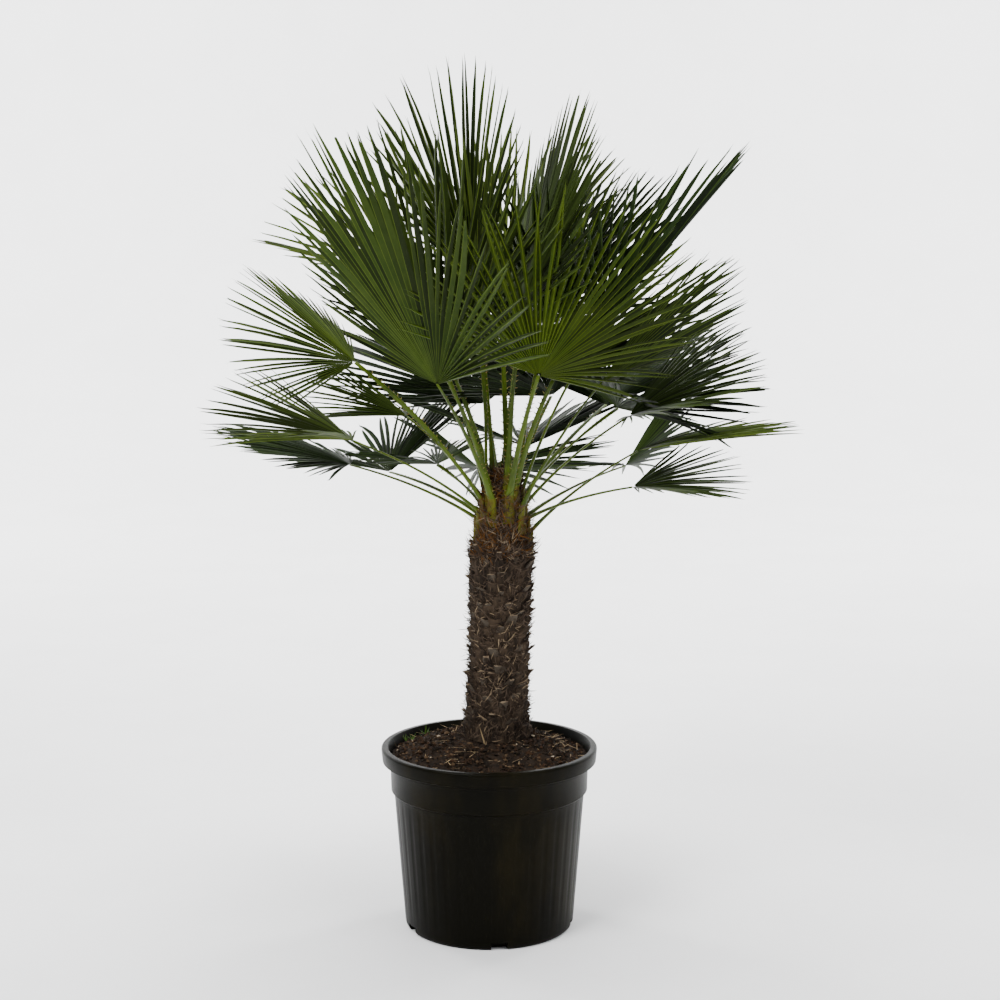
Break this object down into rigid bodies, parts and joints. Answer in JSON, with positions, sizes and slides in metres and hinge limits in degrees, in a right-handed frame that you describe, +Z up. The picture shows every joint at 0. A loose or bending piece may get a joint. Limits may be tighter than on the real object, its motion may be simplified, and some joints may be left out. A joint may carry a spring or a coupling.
{
  "type": "potted european fan palm",
  "caption": "European fan palm with a shaggy trunk and a round crown of stiff fan leaves on long spiny stalks, in a round black nursery pot.",
  "frame": {"origin": "middle of the pot's flat underside, on the floor", "axes": "+Z up, -Y the side seen in the picture, +X to its right"},
  "size_m": [1.2399, 1.3626, 1.8428],
  "materials": {
    "pot_plastic": "black moulded plastic, matt, dusty",
    "potting_soil": "dark crumbly bark compost",
    "trunk_bark": "grey-brown matted fibre and cut leaf bases",
    "palm_leaf": "satin green leaf"
  },
  "bodies": {
    "root": {"pot": "pot_plastic", "soil": "potting_soil", "trunk": "trunk_bark", "frond_back_high": "palm_leaf", "frond_back_high_left": "palm_leaf", "frond_back_high_right": "palm_leaf", "frond_back_left": "palm_leaf", "frond_back_low": "palm_leaf", "frond_back_low_right": "palm_leaf", "frond_back_middle": "palm_leaf", "frond_back_right": "palm_leaf", "frond_front_left": "palm_leaf", "frond_front_left_inner": "palm_leaf", "frond_front_right": "palm_leaf", "frond_front_right_inner": "palm_leaf", "frond_left_back_folded": "palm_leaf", "frond_left_back_low": "palm_leaf", "frond_left_fold": "palm_leaf", "frond_left_low_bright": "palm_leaf", "frond_left_low_dark": "palm_leaf", "frond_left_mid": "palm_leaf", "frond_left_pale": "palm_leaf", "frond_right_low": "palm_leaf", "frond_right_lowest": "palm_leaf", "frond_right_mid": "palm_leaf", "frond_right_mid_back": "palm_leaf", "frond_right_wide": "palm_leaf", "frond_top": "palm_leaf", "frond_top_back": "palm_leaf", "frond_top_left_back": "palm_leaf", "frond_top_right": "palm_leaf", "frond_upper_right": "palm_leaf", "frond_upper_right_back": "palm_leaf"}
  },
  "joints": []
}
